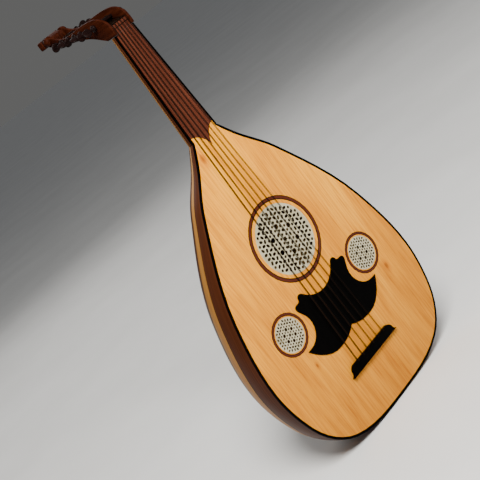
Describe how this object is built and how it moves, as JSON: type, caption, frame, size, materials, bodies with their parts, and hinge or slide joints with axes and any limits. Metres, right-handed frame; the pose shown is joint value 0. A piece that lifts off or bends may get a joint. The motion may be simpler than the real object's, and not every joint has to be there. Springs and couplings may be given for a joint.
{
  "type": "oud",
  "caption": "Arabic-style oud with a striped ribbed bowl, spruce soundboard with three fretted rosettes, black pickguard and edging, bent-back pegbox and turning pegs.",
  "frame": {"origin": "the tail end of the body, where the ribs meet behind the soundboard's edge, in the plane of the soundboard's face", "axes": "+Z along the neck towards the pegbox, +Y from the soundboard's face towards the bowl, +X to the right of someone facing the soundboard with the neck up"},
  "size_m": [0.37, 0.1933, 0.743],
  "materials": {
    "spruce": "satin pale softwood, grain along the neck",
    "light_rib": "glossy varnished light hardwood",
    "dark_rib": "glossy varnished dark hardwood",
    "ebony": "polished black wood",
    "rosewood": "satin reddish brown wood",
    "mahogany": "varnished dark red-brown wood",
    "bone": "matte ivory-coloured fretwork",
    "inlay_brown": "satin brown veneer",
    "string": "dark wound and plain strings",
    "inner_wood": "bare unvarnished wood"
  },
  "bodies": {
    "instrument": {"rib_01": "dark_rib", "rib_02": "light_rib", "rib_03": "dark_rib", "rib_04": "light_rib", "rib_05": "dark_rib", "rib_06": "light_rib", "rib_07": "dark_rib", "rib_08": "light_rib", "rib_09": "dark_rib", "rib_10": "light_rib", "rib_11": "dark_rib", "rib_12": "light_rib", "rib_13": "dark_rib", "rib_14": "light_rib", "rib_15": "dark_rib", "rib_16": "light_rib", "tail_block": "inner_wood", "neck_block": "inner_wood", "soundboard_frame": "inner_wood", "soundboard": "spruce", "ring_inlay_main": "inlay_brown", "rosette_main": "bone", "ring_inlay_left": "inlay_brown", "rosette_left": "bone", "ring_inlay_right": "inlay_brown", "rosette_right": "bone", "edge_binding": "ebony", "pickguard": "ebony", "bridge": "ebony", "neck_binding_left": "ebony", "neck_binding_right": "ebony", "neck": "dark_rib", "fingerboard": "rosewood", "pegbox_root": "rosewood", "nut": "rosewood", "pegbox_cheek_left": "mahogany", "pegbox_cheek_right": "mahogany", "pegbox_back": "mahogany", "finial": "mahogany", "finial_cap": "mahogany", "scroll_eye_left": "mahogany", "scroll_eye_right": "mahogany", "string_pair_1": "string", "string_pair_2": "string", "string_pair_3": "string", "string_pair_4": "string", "string_pair_5": "string", "string_pair_6": "string"},
    "peg_left_1": {"peg_left_1": "ebony"},
    "peg_left_2": {"peg_left_2": "ebony"},
    "peg_left_3": {"peg_left_3": "ebony"},
    "peg_left_4": {"peg_left_4": "ebony"},
    "peg_left_5": {"peg_left_5": "ebony"},
    "peg_left_6": {"peg_left_6": "ebony"},
    "peg_right_1": {"peg_right_1": "ebony"},
    "peg_right_2": {"peg_right_2": "ebony"},
    "peg_right_3": {"peg_right_3": "ebony"},
    "peg_right_4": {"peg_right_4": "ebony"},
    "peg_right_5": {"peg_right_5": "ebony"},
    "peg_right_6": {"peg_right_6": "ebony"}
  },
  "joints": [
    {"name": "peg_left_1_turn", "type": "hinge", "parent": "instrument", "child": "peg_left_1", "pos_m": [0, 0.025, 0.7097], "axis": [1, 0, 0], "range_deg": [-810, 60]},
    {"name": "peg_left_2_turn", "type": "hinge", "parent": "instrument", "child": "peg_left_2", "pos_m": [0, 0.0424, 0.7112], "axis": [1, 0, 0], "range_deg": [-810, 60]},
    {"name": "peg_left_3_turn", "type": "hinge", "parent": "instrument", "child": "peg_left_3", "pos_m": [0, 0.0598, 0.714], "axis": [1, 0, 0], "range_deg": [-810, 60]},
    {"name": "peg_left_4_turn", "type": "hinge", "parent": "instrument", "child": "peg_left_4", "pos_m": [0, 0.0772, 0.7165], "axis": [1, 0, 0], "range_deg": [-810, 60]},
    {"name": "peg_left_5_turn", "type": "hinge", "parent": "instrument", "child": "peg_left_5", "pos_m": [0, 0.0946, 0.7187], "axis": [1, 0, 0], "range_deg": [-810, 60]},
    {"name": "peg_left_6_turn", "type": "hinge", "parent": "instrument", "child": "peg_left_6", "pos_m": [0, 0.112, 0.7215], "axis": [1, 0, 0], "range_deg": [-810, 60]},
    {"name": "peg_right_1_turn", "type": "hinge", "parent": "instrument", "child": "peg_right_1", "pos_m": [0, 0.0337, 0.71045], "axis": [1, 0, 0], "range_deg": [-810, 60]},
    {"name": "peg_right_2_turn", "type": "hinge", "parent": "instrument", "child": "peg_right_2", "pos_m": [0, 0.0511, 0.7126], "axis": [1, 0, 0], "range_deg": [-810, 60]},
    {"name": "peg_right_3_turn", "type": "hinge", "parent": "instrument", "child": "peg_right_3", "pos_m": [0, 0.0685, 0.71525], "axis": [1, 0, 0], "range_deg": [-810, 60]},
    {"name": "peg_right_4_turn", "type": "hinge", "parent": "instrument", "child": "peg_right_4", "pos_m": [0, 0.0859, 0.7176], "axis": [1, 0, 0], "range_deg": [-810, 60]},
    {"name": "peg_right_5_turn", "type": "hinge", "parent": "instrument", "child": "peg_right_5", "pos_m": [0, 0.1033, 0.7199], "axis": [1, 0, 0], "range_deg": [-810, 60]},
    {"name": "peg_right_6_turn", "type": "hinge", "parent": "instrument", "child": "peg_right_6", "pos_m": [0, 0.1207, 0.7242], "axis": [1, 0, 0], "range_deg": [-810, 60]}
  ]
}
